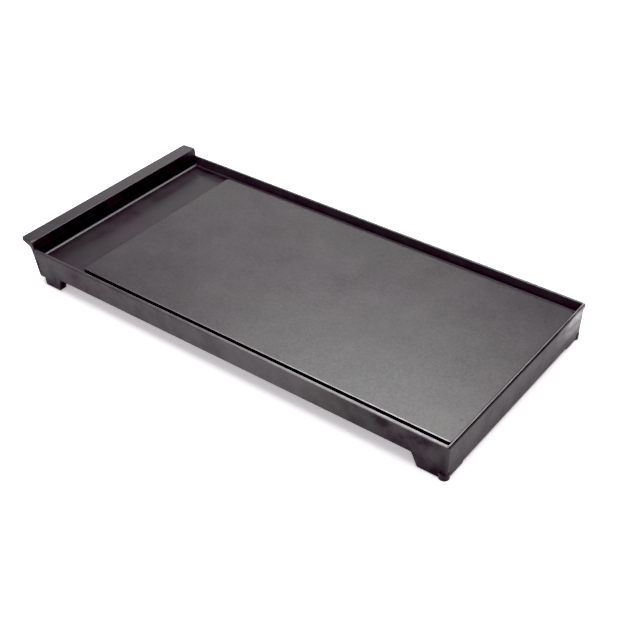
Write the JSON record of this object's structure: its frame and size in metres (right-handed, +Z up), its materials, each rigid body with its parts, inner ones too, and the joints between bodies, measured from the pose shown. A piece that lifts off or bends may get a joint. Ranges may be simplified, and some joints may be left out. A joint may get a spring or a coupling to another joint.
{
  "type": "electric griddle",
  "caption": "Low rectangular tabletop griddle: cast tray with rim, grease well and end flange, lift-out cooking plate, hidden element and plug-in control socket.",
  "frame": {"origin": "on the table, under the middle of the griddle's overall length and depth", "axes": "+X along the length away from the handle flange, +Y towards the back wall with the socket, +Z up"},
  "size_m": [0.525, 0.257, 0.05],
  "materials": {
    "coated_casting": "satin black non-stick coating over die-cast aluminium",
    "coated_plate": "satin black non-stick coating over an aluminium plate",
    "dowel_steel": "turned stainless steel",
    "sheath_steel": "heat-tinted stainless steel tube",
    "magnesia": "pressed white powder",
    "resistance_wire": "nickel-chromium wire",
    "pin_metal": "nickel plated",
    "seal_ceramic": "unglazed ceramic",
    "clamp_steel": "zinc-plated steel strip",
    "screw_steel": "zinc-plated steel",
    "sensor_steel": "drawn stainless tube",
    "shroud_plastic": "black phenolic moulding",
    "shield_steel": "aluminised sheet steel",
    "cover_paint": "black enamelled sheet steel",
    "label_aluminium": "blank brushed aluminium label",
    "foot_rubber": "moulded silicone rubber"
  },
  "bodies": {
    "base": {"tray_casting": "coated_casting", "plate_locating_pins": "dowel_steel", "element_sheath": "sheath_steel", "element_magnesia": "magnesia", "element_coil": "resistance_wire", "terminal_pins": "pin_metal", "terminal_seals": "seal_ceramic", "element_clamps": "clamp_steel", "element_clamp_screws": "screw_steel", "sensor_tube": "sensor_steel", "sensor_tube_clip": "clamp_steel", "sensor_tube_screws": "screw_steel", "socket_shroud": "shroud_plastic", "socket_shroud_screws": "screw_steel", "heat_shield": "shield_steel", "heat_shield_spacers": "clamp_steel", "heat_shield_screws": "screw_steel", "bottom_cover": "cover_paint", "bottom_cover_screws": "screw_steel", "rating_plate": "label_aluminium", "rating_plate_rivets": "label_aluminium", "front_left_foot": "foot_rubber", "back_left_foot": "foot_rubber", "front_right_foot": "foot_rubber", "back_right_foot": "foot_rubber"},
    "plate": {"cooking_plate": "coated_plate"}
  },
  "joints": [
    {"name": "plate_lift", "type": "slide", "parent": "base", "child": "plate", "axis": [0, 0, 1], "range_m": [0, 0.045]}
  ]
}
